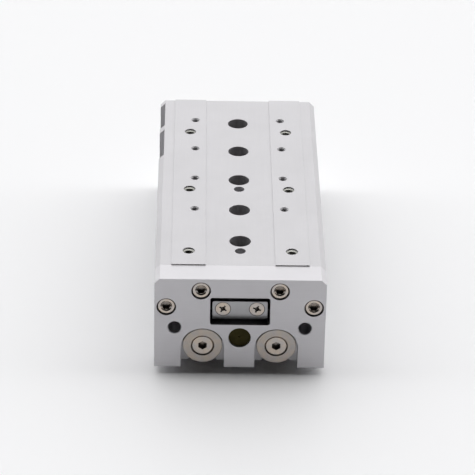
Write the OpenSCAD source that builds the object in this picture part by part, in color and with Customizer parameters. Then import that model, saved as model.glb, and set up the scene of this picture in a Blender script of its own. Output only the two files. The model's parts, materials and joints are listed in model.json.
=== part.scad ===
// Pneumatic slide table: a twin-bore cylinder body with a ball guide on top that carries a
// sliding table. The piston rods pull and push the table through its front end plate.
// Frame: X to the right, Y to the back, Z up; the origin is under the middle of the whole part.

/* [Table] */
// Width of the table and of the end plate
width = 80; // [76:0.5:84]
// Length of the table without the end plate
table_l = 168; // [164:1:190]
// Height of the table's middle land above the base
top_h = 52; // [50:0.5:56]
// Gap between the guide block and the side walls of the table
block_side_gap = 2; // [1:0.1:3]
// Gap between the side walls and the body's shoulders
wall_gap = 0.8; // [0.4:0.1:2]
// Chamfer along the long upper edges
edge_chamfer = 2.5; // [1:0.1:4]
// Distance from the middle to the inner edge of a raised strip
strip_inner = 16.3; // [12:0.1:18]
// Distance from the middle to the outer edge of a raised strip
strip_outer = 32.3; // [30:0.1:36]
// Height of the raised strips over the middle land
strip_h = 0.5; // [0.2:0.1:1]
// Depth of the two seats milled into the left side for stop brackets
seat_depth = 2.5; // [1:0.1:4]
// Length of the front stop seat
front_seat_l = 27; // [15:0.5:30]
// Length of the rear stop seat
rear_seat_l = 24.5; // [15:0.5:30]
// Width of the rib between the two stop seats
seat_rib = 4.7; // [2:0.1:8]
// Distance from the rear end of the table to the rear stop seat
seat_end = 3.5; // [2:0.1:10]

/* [Table holes] */
// Sideways spacing of the threaded inserts
insert_spacing = 48.6; // [40:0.1:54]
// Distance between two rows of threaded inserts
insert_pitch = 60; // [40:1:60]
// Distance from the table's front end to the first row of inserts
insert_first = 12.5; // [10:0.5:20]
// Thread size of the inserts
insert_thread = 5; // [5:0.5:6]
// Wall left under the insert holes
insert_floor = 1.2; // [1:0.1:4]
// Diameter of the two locating holes on the middle line
dowel_d = 5.1; // [4:0.1:6]
// Depth of the locating holes
dowel_depth = 3.5; // [3:0.5:7]
// How far the locating holes of the table lie behind the insert rows
dowel_shift = 0.8; // [0:0.1:2]
// Diameter of the access holes over the rail bolts
access_d = 10.2; // [9.5:0.1:11]

/* [End plate] */
// Thickness of the end plate
plate_t = 13; // [12:0.5:15]
// Height of the plate's lower edge above the base
plate_lift = 4; // [2:0.5:5]
// Gap between the end plate and the body with the table pulled in
plate_gap = 0.8; // [0.5:0.1:2]
// Sideways distance from the middle to an upper plate screw
upper_screw_x = 18.3; // [17:0.1:22]
// Height of the upper plate screws
upper_screw_z = 45.7; // [45:0.1:47]
// Distance from the plate's side to a lower plate screw
lower_screw_edge = 5.6; // [5:0.1:6.5]
// Height of the lower plate screws
lower_screw_z = 36.9; // [35:0.1:39]
// Sideways distance from the middle to a front mounting hole
front_hole_x = 30.5; // [30.1:0.1:32]
// Height of the front mounting holes
front_hole_z = 25.7; // [22:0.1:28]
// Diameter of the front mounting holes
front_hole_d = 6; // [4:0.1:6.5]
// Diameter of the hole for the retract bumper
bumper_hole_d = 10.5; // [8:0.1:11]
// Height of the retract bumper
bumper_z = 20.3; // [17:0.1:20.5]
// Gap beside the rail in the window of the plate
window_gap = 1; // [0.3:0.1:1.2]
// How far the window's sill lies below the rail seat
sill_drop = 0.6; // [0.3:0.1:1]
// Corner radius of the window
window_r = 1.2; // [0.5:0.1:2]

/* [Cylinder body] */
// Width of the body
body_w = 79; // [78:0.5:80]
// Height of the body up to the rail seat
body_h = 28; // [27.5:0.1:28.5]
// Chamfer along the body's long edges
body_chamfer = 0.8; // [0.3:0.1:2]
// Diameter of the two cylinder bores
bore_d = 20; // [19:0.1:21]
// Distance between the two bore axes
bore_spacing = 34.6; // [33:0.1:35]
// Height of the bore axes above the base
bore_z = 15.8; // [14:0.1:16]
// Travel of the table
stroke = 50; // [30:1:50]
// Depth of the open mouth in front of each rod cover
mouth_depth = 5.3; // [5:0.1:7]
// Diameter of the rod cover seats
cover_d = 18; // [17:0.1:18.5]
// Length of the rod covers
cover_l = 24; // [22:0.5:30]
// Length of the head caps
cap_l = 16; // [10:0.5:18]
// Thickness of the bumpers at the ends of the bores
stop_t = 3; // [2.5:0.1:5]
// Diameter of the air ports
port_d = 8.6; // [8:0.1:9]
// Depth of the air ports
port_depth = 9; // [7:0.5:10]
// Diameter of the air passages between the ports and the bores
passage_d = 3; // [2:0.1:3.5]
// Width of the mouth of a sensor groove
groove_mouth = 3; // [2.5:0.1:3.5]
// Diameter of the round floor of a sensor groove
groove_d = 4; // [3.5:0.1:4]
// Height of the sensor groove axes above and below the port axis
groove_offset = 7.6; // [7:0.1:8]
// Sideways distance between the base mounting holes
base_spacing = 62; // [60:0.5:62]
// Distance between two rows of base mounting holes
base_pitch = 60; // [50:1:60]
// Distance from the body's front to the first row of base mounting holes
base_first = 16; // [10:1:20]
// Tapping diameter of the base mounting holes
base_hole_d = 5; // [4.2:0.1:5]
// Depth of the base mounting holes
base_hole_depth = 10; // [6:0.5:10]

/* [Rods and pistons] */
// Diameter of the piston rods
rod_d = 12; // [10:0.5:12]
// Length of the pistons
piston_l = 28; // [28:0.5:32]
// Diameter of the front flange of a floating bush
bush_d = 18.5; // [17:0.1:19]
// Clearance at each side of the front flange in the slot of the plate
bush_gap = 0.9; // [0.5:0.1:1.5]
// Clearance above the front flange in the slot of the plate
bush_top_gap = 0.1; // [0.05:0.05:0.5]
// Depth of the wide part of the slot
slot_depth = 6.3; // [6:0.1:8]
// Diameter of the neck of a floating bush
neck_d = 12.4; // [11:0.1:13]
// Thickness of the rear flange of a floating bush
rear_flange_t = 3; // [2:0.1:3.5]

/* [Ball guide] */
// Width of the rail
rail_w = 26; // [25:0.1:27]
// Height of the rail
rail_h = 9.8; // [9.5:0.1:10]
// How far the rail stands out in front of the body
rail_overhang = 6.7; // [4:0.1:7]
// Distance from the body's rear end to the end of the rail
rail_inset = 3; // [1:0.5:5]
// Thickness of the cover plate on the rail's front end
rail_cover_t = 3; // [2.5:0.1:3.5]
// Sideways distance between the screws of the rail cover
cover_screw_spacing = 15.9; // [13:0.1:17]
// Distance between two rail bolts
rail_pitch = 30; // [28:1:32]
// Distance from the table's front end to the first rail bolt
rail_first = 22.5; // [20:0.5:24]
// Width of the guide block
block_w = 54; // [53:0.5:55]
// Length of the guide block
block_l = 105; // [104:0.5:106]
// Distance from the table's front end to the guide block
block_first = 46.4; // [46:0.1:47]
// Gap between the guide block and the body
block_lift = 1; // [0.5:0.1:1.5]
// Height of the guide block's seat in the table above the rail
block_rise = 4.2; // [4:0.1:5]
// Distance from the guide block's side to its screws
block_screw_edge = 5.3; // [5:0.1:5.6]
// Distance between two screws of the guide block
block_screw_pitch = 30.8; // [29:0.1:31]
// Diameter of the guide balls
ball_d = 3.5; // [3:0.1:3.5]
// Thickness of a ball return cap
ball_cap_t = 5; // [4.5:0.5:6]
// Thickness of a scraper
scraper_t = 1; // [0.8:0.1:1.5]

/* [Hidden] */
$fn = 72;
insert_rows = 3;
rail_bolts_n = 5;
block_screws_n = 4;
cut = 1;                 // how far a cutting tool runs past the face it opens
thread_gap = 0.02;       // gap round a thread, which is drawn at its minor diameter
seat_gap = 0.02;         // radial gap of a piece seated in a bore
slide_gap = 0.03;        // radial gap of a piece that slides in a bore
stop_gap = 0.3;          // gap left at each end of the travel

// Socket head screws: thread, minor, head diameter, head height, key, socket depth
M5 = [5, 4.2, 8.4, 5, 4, 2.75];
M3 = [3, 2.5, 5.5, 3, 2.5, 1.65];
function thread_d(screw) = screw[0];
function minor_d(screw) = screw[1];
function head_d(screw) = screw[2];
function head_h(screw) = screw[3];
function key_w(screw) = screw[4];
function socket_depth(screw) = screw[5];
close_hole = 0.2;        // what a close clearance hole is larger than its thread
clearance_hole = 0.5;    // what a clearance hole is larger than its thread
head_gap = 0.65;         // what a counterbore is larger than the head
head_sink = 0.6;         // how far a screw head sits below its face

// Places along Y, from the front face of the end plate backwards
overall_l = plate_t + table_l;
front_y = -overall_l / 2;
table_d = plate_t;
body_d = plate_t + plate_gap;
rear_d = overall_l;
rail_d = body_d - rail_overhang;
rail_end_d = rear_d - rail_inset;
block_d = table_d + block_first;
block_end_d = block_d + block_l;
block_screw_d = block_d + (block_l - (block_screws_n - 1) * block_screw_pitch) / 2;

// Heights
wall_z = body_h + wall_gap;
rail_z = body_h + rail_h;
roof_z = rail_z + block_rise;
block_z = body_h + block_lift;
channel_gap = 0.5;       // gap between the rail and the guide block
cavity_x = block_w / 2 + block_side_gap;

// Retaining rings
ring_t = 1.2;
ring_depth = 0.9;        // how deep a ring sits in its groove
ring_inset = 1.5;        // from the body's rear face to the ring of a head cap
ring_band = 2.2;         // radial width of a ring inside the bore
ring_opening = 3.2;      // gap between the two ends of a ring

// Cylinder bores, from the rear forwards
bore_x = bore_spacing / 2;
bore_r = bore_d / 2;
rod_r = rod_d / 2;
cap_out_d = rear_d - ring_inset - ring_t;
cap_in_d = cap_out_d - cap_l;
piston_end_d = cap_in_d - stop_t - stop_gap;
piston_d = piston_end_d - piston_l;
bore_start_d = piston_d - stroke - stop_gap - stop_t;
cover_start_d = body_d + mouth_depth;
cover_end_d = cover_start_d + cover_l;
rod_passage_gap = 0.5;
stop_ring_gap = 1.5;     // radial air gap round the bumpers, where the ports open
port_z = bore_z;
port_front_d = bore_start_d + stop_t / 2;
port_rear_d = cap_in_d - stop_t / 2;

// Floating bushes
web_gap = 0.1;           // axial play of a bush in its slot
neck_gap = 0.3;          // side play of a neck in its slot
rear_flange_gap = 1.5;   // radial gap between a rear flange and the bore
slot_w = bush_d + 2 * bush_gap;
neck_slot_w = neck_d + 2 * neck_gap;
neck_end_d = plate_t + web_gap;
bush_end_d = neck_end_d + rear_flange_t;
rear_flange_d = bore_d - 2 * rear_flange_gap;
rod_bolt_head_d = 10.4;
rod_bolt_head_h = 3.4;
rod_bolt_sink = 0.25;
rod_bolt_d = 6;
rod_bolt_minor = 5;
rod_bolt_l = 12;         // threaded length in the rod
rod_bolt_gap = 0.3;      // radial gap round the head
rod_shank_gap = 0.2;     // radial gap round the shank

// Balls: the loaded row runs between rail and block, the return row inside the block
ball_r = ball_d / 2;
ball_gap = 0.05;
ball_play = 0.1;         // gap between two balls of a row
row_end = 0.5;           // what a row of balls is shorter than the block at each end
load_rise = 5.4;         // height of the loaded rows above the rail seat
return_out = 3.15;       // how far a return row lies outside its loaded row
return_up = 5.3;         // how far a return row lies above its loaded row
ball_pitch = ball_d + ball_play;
load_x = rail_w / 2 + channel_gap / 2;
load_z = body_h + load_rise;
return_x = load_x + return_out;
return_z = load_z + return_up;
balls_n = floor((block_l - 2 * row_end) / ball_pitch);

aluminium = [0.80, 0.80, 0.81];
anodised = [0.72, 0.73, 0.75];
steel = [0.62, 0.62, 0.62];
stainless = [0.76, 0.73, 0.70];
chromed = [0.85, 0.86, 0.88];
bronze = [0.62, 0.47, 0.25];
resin = [0.10, 0.10, 0.11];
nitrile = [0.06, 0.06, 0.06];
urethane = [0.20, 0.16, 0.06];
magnetic = [0.22, 0.21, 0.22];

// ---- Helpers: d is a distance behind the front face of the end plate ----

// Extrudes an outline drawn in X and Z from distance d0 to d1
module profile(d0, d1) {
    translate([0, front_y + d1, 0])
        rotate([90, 0, 0])
            linear_extrude(d1 - d0)
                children();
}

// A round bar along Y from distance d0 to d1
module bar(d0, d1, r) {
    translate([0, front_y + d0, 0])
        rotate([-90, 0, 0])
            cylinder(h = d1 - d0, r = r);
}

// A cone along Y from radius r0 at d0 to r1 at d1
module taper(d0, d1, r0, r1) {
    translate([0, front_y + d0, 0])
        rotate([-90, 0, 0])
            cylinder(h = d1 - d0, r1 = r0, r2 = r1);
}

// A tube along Y
module sleeve(d0, d1, r_out, r_in) {
    difference() {
        bar(d0, d1, r_out);
        bar(d0 - cut, d1 + cut, r_in);
    }
}

// A hexagonal recess along Y with flats at the top and the bottom
module hex_bar(d0, d1, w) {
    translate([0, front_y + d0, 0])
        rotate([-90, 0, 0])
            cylinder(h = d1 - d0, r = w / sqrt(3), $fn = 6);
}

// A box from distance d0 to d1, symmetric in X
module block_y(d0, d1, half_w, z0, z1) {
    translate([-half_w, front_y + d0, z0])
        cube([2 * half_w, d1 - d0, z1 - z0]);
}

// Moves a piece drawn on the Y axis to a bore: side is -1 on the left and 1 on the right
module at_bore(side) {
    translate([side * bore_x, 0, bore_z])
        children();
}

module both_bores() {
    for (side = [-1, 1])
        at_bore(side)
            children();
}

module place(x, z) {
    translate([x, 0, z])
        children();
}

// An O-ring of cross-section radius r on a groove floor of radius r_floor, at distance d
module o_ring(d, r, r_floor) {
    translate([0, front_y + d, 0])
        rotate([-90, 0, 0])
            rotate_extrude()
                translate([r_floor + r + seat_gap, 0])
                    circle(r = r, $fn = 32);
}

// A retaining ring for a bore of radius r, with a gap at the bottom and two plier holes
module retaining_ring(d, r) {
    ring_in = r - ring_band;
    ear_angle = 22;
    ear_r = 1.5;
    ear_hole_r = 0.6;
    difference() {
        union() {
            sleeve(d, d + ring_t, r + ring_depth - seat_gap, ring_in);
            ring_ears(ring_in, ear_angle)
                bar(d, d + ring_t, ear_r);
        }
        block_y(d - cut, d + ring_t + cut, ring_opening / 2, -r - ring_depth - cut, 0);
        ring_ears(ring_in, ear_angle)
            bar(d - cut, d + ring_t + cut, ear_hole_r);
    }
}

module ring_ears(r, angle) {
    for (a = [-angle, angle])
        rotate([0, a, 0])
            place(0, -r)
                children();
}

// A socket head screw along Y: its head's face is at d and its thread ends at d + head + l
module socket_screw(d, screw, shank, l) {
    edge = 0.4;
    rim = 0.45;
    rim_l = 0.6;
    rim_r = key_w(screw) / sqrt(3) + rim;
    seat = d + head_h(screw);
    difference() {
        union() {
            taper(d, d + edge, head_d(screw) / 2 - edge, head_d(screw) / 2);
            bar(d + edge, seat, head_d(screw) / 2);
            bar(seat, seat + shank, thread_d(screw) / 2 - thread_gap);
            bar(seat, seat + l, minor_d(screw) / 2 - thread_gap);
        }
        hex_bar(d - cut, d + socket_depth(screw), key_w(screw));
        taper(d - seat_gap, d + rim_l, rim_r + seat_gap, rim_r - rim_l);
    }
}

// A clearance hole with a counterbore for a socket head, through to distance d1
module screw_seat(d, d1, screw) {
    bar(d - cut, d + head_sink + head_h(screw), (head_d(screw) + head_gap) / 2);
    bar(d - cut, d1 + cut, (thread_d(screw) + clearance_hole) / 2);
}

// Turns a piece drawn along Y so that its front end points up, at distance d and height z
module upright(x, d, z) {
    translate([x, front_y + d, z])
        rotate([-90, 0, 0])
            translate([0, -front_y, 0])
                children();
}

// ---- Cylinder body and what is in it ----

module body_outline() {
    w = body_w / 2;
    c = body_chamfer;
    polygon([[-w + c, 0], [w - c, 0], [w, c], [w, body_h - c], [w - c, body_h],
             [-w + c, body_h], [-w, body_h - c], [-w, c]]);
}

module sensor_groove(z) {
    axis_depth = 2.7;
    axis_x = body_w / 2 - axis_depth;
    place(axis_x, z)
        bar(body_d - cut, rear_d + cut, groove_d / 2);
    translate([axis_x, front_y + body_d - cut, z - groove_mouth / 2])
        cube([axis_depth + cut, rear_d - body_d + 2 * cut, groove_mouth]);
}

// A port on both sides with one passage through both bores
module port_line(d) {
    translate([0, front_y + d, port_z])
        rotate([0, 90, 0]) {
            cylinder(h = body_w - 2 * port_depth, d = passage_d, center = true);
            for (side = [-1, 1])
                translate([0, 0, side * (body_w / 2 - port_depth / 2 + cut / 2)])
                    cylinder(h = port_depth + cut, d = port_d, center = true);
        }
}

module rail_bolt_places() {
    for (i = [0 : rail_bolts_n - 1])
        upright(0, table_d + rail_first + i * rail_pitch, 0)
            children();
}

rail_bolt_seat = 5.6;    // depth of the counterbores in the rail
rail_bolt_l = 14;        // length of a rail bolt under its head
rail_bolt_end = rail_bolt_seat + rail_bolt_l - rail_z;

module cylinder_body() {
    color(anodised)
        difference() {
            profile(body_d, rear_d)
                body_outline();
            both_bores() {
                bar(body_d - cut, cover_start_d, bore_r);
                bar(cover_start_d - ring_t, cover_start_d, bore_r + ring_depth);
                bar(body_d, cover_end_d, cover_d / 2);
                bar(body_d, bore_start_d + cut, rod_r + rod_passage_gap);
                bar(bore_start_d, rear_d + cut, bore_r);
                bar(cap_out_d, cap_out_d + ring_t, bore_r + ring_depth);
            }
            port_line(port_front_d);
            port_line(port_rear_d);
            for (offset_z = [-groove_offset, groove_offset])
                sensor_groove(port_z + offset_z);
            base_holes();
            rail_bolt_places()
                bar(-body_h - cut, rail_bolt_end + cut, minor_d(M5) / 2);
        }
}

module base_holes() {
    for (side = [-1, 1])
        for (i = [0 : insert_rows - 1])
            translate([side * base_spacing / 2, front_y + body_d + base_first + i * base_pitch, -cut])
                cylinder(h = base_hole_depth + cut, d = base_hole_d);
    for (i = [0, insert_rows - 1])
        translate([0, front_y + body_d + base_first + i * base_pitch, -cut])
            cylinder(h = dowel_depth + cut, d = dowel_d);
}

module rod_cover() {
    r = cover_d / 2 - seat_gap;
    difference() {
        bar(cover_start_d, cover_end_d, r);
        bar(cover_start_d - cut, cover_end_d + cut, rod_r + rod_passage_gap);
        bar(seal_d, seal_d + seal_w, seal_r);
        bar(bearing_d, cover_end_d + cut, bearing_r);
        difference() {
            bar(o_ring_d - o_ring_groove / 2, o_ring_d + o_ring_groove / 2, r + cut);
            bar(cover_start_d, cover_end_d, r - o_ring_depth);
        }
    }
}

seal_w = 4;
seal_lip = 3;            // wall of a rod cover in front of its seal
seal_band = 2.1;         // radial width of a rod seal
seal_d = cover_start_d + seal_lip;
seal_r = rod_r + seal_band;
bearing_l = 12;
bearing_wall = 1.5;
bearing_d = cover_end_d - bearing_l;
bearing_r = rod_r + bearing_wall;
o_ring_r = 0.7;
o_ring_groove = 2;
o_ring_depth = 2 * o_ring_r + seat_gap;
o_ring_place = 10;       // from the front of a rod cover to its O-ring
o_ring_d = cover_start_d + o_ring_place;

module rod_bearing() {
    sleeve(bearing_d, cover_end_d, bearing_r - seat_gap, rod_r + slide_gap);
}

// A lip seal: a ring with a groove in the face towards the bore
module rod_seal() {
    lip_groove = 0.6;
    lip_depth = 2;
    lip_wall = 0.7;
    lip_r = rod_r + lip_wall;
    seal_end_d = seal_d + seal_w;
    difference() {
        sleeve(seal_d + seat_gap, seal_end_d - seat_gap, seal_r - seat_gap, rod_r + slide_gap);
        sleeve(seal_end_d - lip_depth, seal_end_d + cut, lip_r + lip_groove, lip_r);
    }
}

module front_stop() {
    sleeve(bore_start_d, bore_start_d + stop_t, bore_r - stop_ring_gap, rod_r + rod_passage_gap);
}

module rear_stop() {
    sleeve(cap_in_d - stop_t, cap_in_d, bore_r - stop_ring_gap, rod_r + rod_passage_gap);
}

cap_o_ring_place = 6;    // from the inner face of a head cap to its O-ring
cap_o_ring_d = cap_in_d + cap_o_ring_place;

module head_cap() {
    r = bore_r - seat_gap;
    jack_r = 1.65;
    jack_depth = 8;
    difference() {
        bar(cap_in_d, cap_out_d, r);
        bar(cap_out_d - jack_depth, cap_out_d + cut, jack_r);
        difference() {
            bar(cap_o_ring_d - o_ring_groove / 2, cap_o_ring_d + o_ring_groove / 2, r + cut);
            bar(cap_in_d, cap_out_d, r - o_ring_depth);
        }
    }
}

module left_rod_cover() color(aluminium) at_bore(-1) rod_cover();
module right_rod_cover() color(aluminium) at_bore(1) rod_cover();
module left_rod_bearing() color(bronze) at_bore(-1) rod_bearing();
module right_rod_bearing() color(bronze) at_bore(1) rod_bearing();
module left_rod_seal() color(nitrile) at_bore(-1) rod_seal();
module right_rod_seal() color(nitrile) at_bore(1) rod_seal();
module left_front_stop() color(urethane) at_bore(-1) front_stop();
module right_front_stop() color(urethane) at_bore(1) front_stop();
module left_rear_stop() color(urethane) at_bore(-1) rear_stop();
module right_rear_stop() color(urethane) at_bore(1) rear_stop();
module left_head_cap() color(aluminium) at_bore(-1) head_cap();
module right_head_cap() color(aluminium) at_bore(1) head_cap();

module rod_cover_o_rings() {
    color(nitrile)
        both_bores()
            o_ring(o_ring_d, o_ring_r, cover_d / 2 - seat_gap - o_ring_depth);
}

module head_cap_o_rings() {
    color(nitrile)
        both_bores()
            o_ring(cap_o_ring_d, o_ring_r, bore_r - seat_gap - o_ring_depth);
}

module rod_cover_rings() {
    color(steel)
        both_bores()
            retaining_ring(cover_start_d - ring_t, bore_r);
}

module head_cap_rings() {
    color(steel)
        both_bores()
            retaining_ring(cap_out_d, bore_r);
}

// Hexagon socket plugs in the two ports on the right side
module port_plugs() {
    plug_floor = 2;
    plug_l = port_depth - plug_floor;
    plug_sink = 0.5;
    key = 4;
    color(stainless)
        for (d = [port_front_d, port_rear_d])
            translate([body_w / 2 - plug_sink, front_y + d, port_z])
                rotate([0, -90, 0])
                    difference() {
                        cylinder(h = plug_l, r = port_d / 2 - thread_gap);
                        translate([0, 0, -cut])
                            cylinder(h = plug_l / 2 + cut, r = key / sqrt(3), $fn = 6);
                    }
}

// ---- Ball guide ----

module rail_outline() {
    w = rail_w / 2;
    c = 0.5;
    difference() {
        polygon([[-w, body_h], [w, body_h], [w, rail_z - c], [w - c, rail_z],
                 [-w + c, rail_z], [-w, rail_z - c]]);
        for (side = [-1, 1])
            translate([side * load_x, load_z])
                circle(r = ball_r + ball_gap, $fn = 48);
    }
}

cover_screw_rise = 5.6;  // height of the cover's screws above the rail seat
cover_screw_x = cover_screw_spacing / 2;
cover_screw_z = body_h + cover_screw_rise;
cover_head_d = 6.8;
cover_head_gap = 0.12;    // gap round a head in the cover's countersink
cover_head_h = 1.8;
cover_screw_l = 8;

module guide_rail() {
    color(steel)
        difference() {
            profile(rail_d, rail_end_d)
                rail_outline();
            rail_bolt_places() {
                bar(-rail_z - cut, -rail_z + rail_bolt_seat, (head_d(M5) + head_gap) / 2);
                bar(-rail_z - cut, -body_h + cut, (thread_d(M5) + clearance_hole) / 2);
            }
            for (side = [-1, 1])
                place(side * cover_screw_x, cover_screw_z)
                    bar(rail_d - cut, rail_d + cover_screw_l, minor_d(M3) / 2);
        }
}

module rail_bolts() {
    shank = rail_h - rail_bolt_seat;
    color(stainless)
        rail_bolt_places()
            socket_screw(rail_bolt_seat - rail_z - head_h(M5), M5, shank, rail_bolt_l);
}

module rail_end_cover() {
    side_trim = 0.05;
    top_trim = 0.1;
    c = 0.5;
    w = rail_w / 2 - side_trim;
    top = rail_z - top_trim;
    front = rail_d - rail_cover_t;
    hole_r = thread_d(M3) / 2 + seat_gap;
    color(stainless)
        difference() {
            profile(front, rail_d)
                polygon([[-w, body_h], [w, body_h], [w, top - c], [w - c, top],
                         [-w + c, top], [-w, top - c]]);
            for (side = [-1, 1])
                place(side * cover_screw_x, cover_screw_z) {
                    taper(front - seat_gap, front + cover_head_h, cover_head_d / 2 + cover_head_gap,
                          hole_r);
                    bar(front, rail_d + cut, hole_r);
                }
        }
}

// Countersunk cross-recess screws, each turned to its own angle
module rail_cover_screws() {
    front = rail_d - rail_cover_t;
    angles = [32, 20];
    slot_l = 3.9;
    slot_t = 0.85;
    recess = 1.6;
    hub_r = 1.1;
    tip_r = 0.3;
    tip_l = 0.5;
    thread_r = thread_d(M3) / 2;
    screw_end_d = rail_d + cover_screw_l - cut;
    color(stainless)
        for (i = [0, 1])
            place((2 * i - 1) * cover_screw_x, cover_screw_z)
                difference() {
                    union() {
                        taper(front, front + cover_head_h, cover_head_d / 2, thread_r);
                        bar(front + cover_head_h, rail_d, thread_r);
                        bar(rail_d, screw_end_d, minor_d(M3) / 2 - thread_gap);
                    }
                    for (a = [0, 90])
                        rotate([0, angles[i] + a, 0])
                            block_y(front - cut, front + recess, slot_l / 2, -slot_t / 2, slot_t / 2);
                    taper(front - seat_gap, front + recess + tip_l, hub_r, tip_r);
                }
}

module block_outline(half_w, z0, z1, channel_x, channel_z) {
    c = 0.6;
    polygon([[-half_w, z0], [-channel_x, z0], [-channel_x, channel_z], [channel_x, channel_z],
             [channel_x, z0], [half_w, z0], [half_w, z1 - c], [half_w - c, z1],
             [-half_w + c, z1], [-half_w, z1 - c]]);
}

module block_screw_places() {
    for (side = [-1, 1])
        for (i = [0 : block_screws_n - 1])
            translate([side * block_screw_x, front_y + block_screw_d + i * block_screw_pitch, 0])
                children();
}

block_screw_x = block_w / 2 - block_screw_edge;
block_screw_grip = 5.2;  // length of a block screw in the table
block_head_seat = 5.2;
cap_screw_edge = 4.2;    // from the guide block's side to the screws of its caps
cap_screw_drop = 5;      // from the guide block's top to the screws of its caps
cap_screw_wall = 0.6;    // wall between a cap's screw hole and the nearest block screw
ball_cap_screw_x = block_w / 2 - cap_screw_edge;
ball_cap_screw_z = roof_z - cap_screw_drop;
ball_cap_screw_l = block_screw_d - block_d - (thread_d(M5) + close_hole) / 2 - cap_screw_wall;

module guide_block() {
    color(steel)
        difference() {
            profile(block_d, block_end_d)
                difference() {
                    block_outline(block_w / 2, block_z, roof_z, rail_w / 2 + channel_gap,
                                  rail_z + channel_gap);
                    for (side = [-1, 1]) {
                        translate([side * load_x, load_z])
                            circle(r = ball_r + ball_gap, $fn = 48);
                        translate([side * return_x, return_z])
                            circle(r = ball_r + ball_gap, $fn = 48);
                    }
                }
            block_screw_places() {
                translate([0, 0, block_z - cut])
                    cylinder(h = block_head_seat + cut, d = head_d(M5) + head_gap);
                cylinder(h = top_h, d = thread_d(M5) + close_hole);
            }
            rail_bolt_access();
            for (side = [-1, 1])
                place(side * ball_cap_screw_x, ball_cap_screw_z) {
                    bar(block_d - cut, block_d + ball_cap_screw_l, minor_d(M3) / 2);
                    bar(block_end_d - ball_cap_screw_l, block_end_d + cut, minor_d(M3) / 2);
                }
        }
}

// Vertical holes over the rail bolts, so that a key reaches them
module rail_bolt_access() {
    for (i = [0 : rail_bolts_n - 1])
        translate([0, front_y + table_d + rail_first + i * rail_pitch, rail_z])
            cylinder(h = top_h, d = access_d);
}

module block_screws() {
    seat_z = block_z + block_head_seat;
    key_depth = 2.5;
    color(stainless)
        block_screw_places()
            difference() {
                union() {
                    translate([0, 0, seat_z - head_h(M5)])
                        cylinder(h = head_h(M5), d = head_d(M5));
                    translate([0, 0, seat_z])
                        cylinder(h = roof_z - seat_z, r = thread_d(M5) / 2 - thread_gap);
                    translate([0, 0, seat_z])
                        cylinder(h = roof_z + block_screw_grip - seat_z,
                                 r = minor_d(M5) / 2 - thread_gap);
                }
                translate([0, 0, seat_z - head_h(M5) - cut])
                    cylinder(h = key_depth + cut, r = key_w(M5) / sqrt(3), $fn = 6);
            }
}

ball_cap_gap = 0.4;      // what a cap is lower than the block, so that only the block seats

// A resin cap that turns the balls round between the loaded and the return row
module ball_cap(d, inward) {
    depth = ball_d + 2 * ball_play;
    pocket_r = ball_r + ball_play;
    throat = ball_r + ball_gap;
    pocket_d = inward > 0 ? d + ball_cap_t - depth : d - cut;
    pocket_end_d = pocket_d + depth + cut;
    turn_angle = atan2(return_x - load_x, return_z - load_z);
    turn_l = norm([return_x - load_x, return_z - load_z]);
    difference() {
        profile(d, d + ball_cap_t)
            block_outline(block_w / 2, block_z, roof_z - ball_cap_gap, rail_w / 2 + channel_gap,
                          rail_z + channel_gap);
        for (side = [-1, 1]) {
            place(side * load_x, load_z) {
                bar(pocket_d, pocket_end_d, pocket_r);
                rotate([0, side * turn_angle, 0])
                    block_y(pocket_d, pocket_end_d, throat, 0, turn_l);
            }
            place(side * return_x, return_z)
                bar(pocket_d, pocket_end_d, pocket_r);
            place(side * ball_cap_screw_x, ball_cap_screw_z)
                bar(d - cut, d + ball_cap_t + cut, (thread_d(M3) + close_hole) / 2);
        }
    }
}

module front_ball_cap() {
    color(resin)
        ball_cap(block_d - ball_cap_t, 1);
}

module rear_ball_cap() {
    color(resin)
        ball_cap(block_end_d, -1);
}

// A sheet metal wiper that follows the rail closely
module scraper(d) {
    wipe_gap = 0.15;
    side_trim = 0.3;
    difference() {
        profile(d, d + scraper_t)
            block_outline(block_w / 2 - side_trim, block_z, roof_z - 2 * ball_cap_gap,
                          rail_w / 2 + wipe_gap, rail_z + wipe_gap);
        for (side = [-1, 1])
            place(side * ball_cap_screw_x, ball_cap_screw_z)
                bar(d - cut, d + scraper_t + cut, (thread_d(M3) + close_hole) / 2);
    }
}

module front_scraper() {
    color(stainless)
        scraper(block_d - ball_cap_t - scraper_t);
}

module rear_scraper() {
    color(stainless)
        scraper(block_end_d + ball_cap_t);
}

module ball_cap_screw(d) {
    tip_gap = 0.4;
    shank = ball_cap_t + scraper_t;
    socket_screw(d, M3, shank, shank + ball_cap_screw_l - tip_gap);
}

module ball_cap_screws() {
    head_face_d = block_d - ball_cap_t - scraper_t - head_h(M3);
    color(stainless)
        for (side = [-1, 1])
            place(side * ball_cap_screw_x, ball_cap_screw_z) {
                ball_cap_screw(head_face_d);
                translate([0, front_y + block_end_d, 0])
                    rotate([180, 0, 0])
                        translate([0, -front_y - block_d, 0])
                            ball_cap_screw(head_face_d);
            }
}

// The balls of both circuits: a loaded and a return row on each side, one ball in each turn
module guide_balls() {
    first_d = block_d + (block_l - (balls_n - 1) * ball_pitch) / 2;
    turn_gap = 0.15;
    turn_d = block_d - ball_r - turn_gap;
    color(chromed)
        for (side = [-1, 1]) {
            for (i = [0 : balls_n - 1])
                for (row = [[load_x, load_z], [return_x, return_z]])
                    translate([side * row[0], front_y + first_d + i * ball_pitch, row[1]])
                        sphere(d = ball_d, $fn = 20);
            for (d = [turn_d, 2 * block_d + block_l - turn_d])
                translate([side * (load_x + return_x) / 2, front_y + d, (load_z + return_z) / 2])
                    sphere(d = ball_d, $fn = 20);
        }
}

// ---- Table, end plate and their fasteners ----

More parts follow.
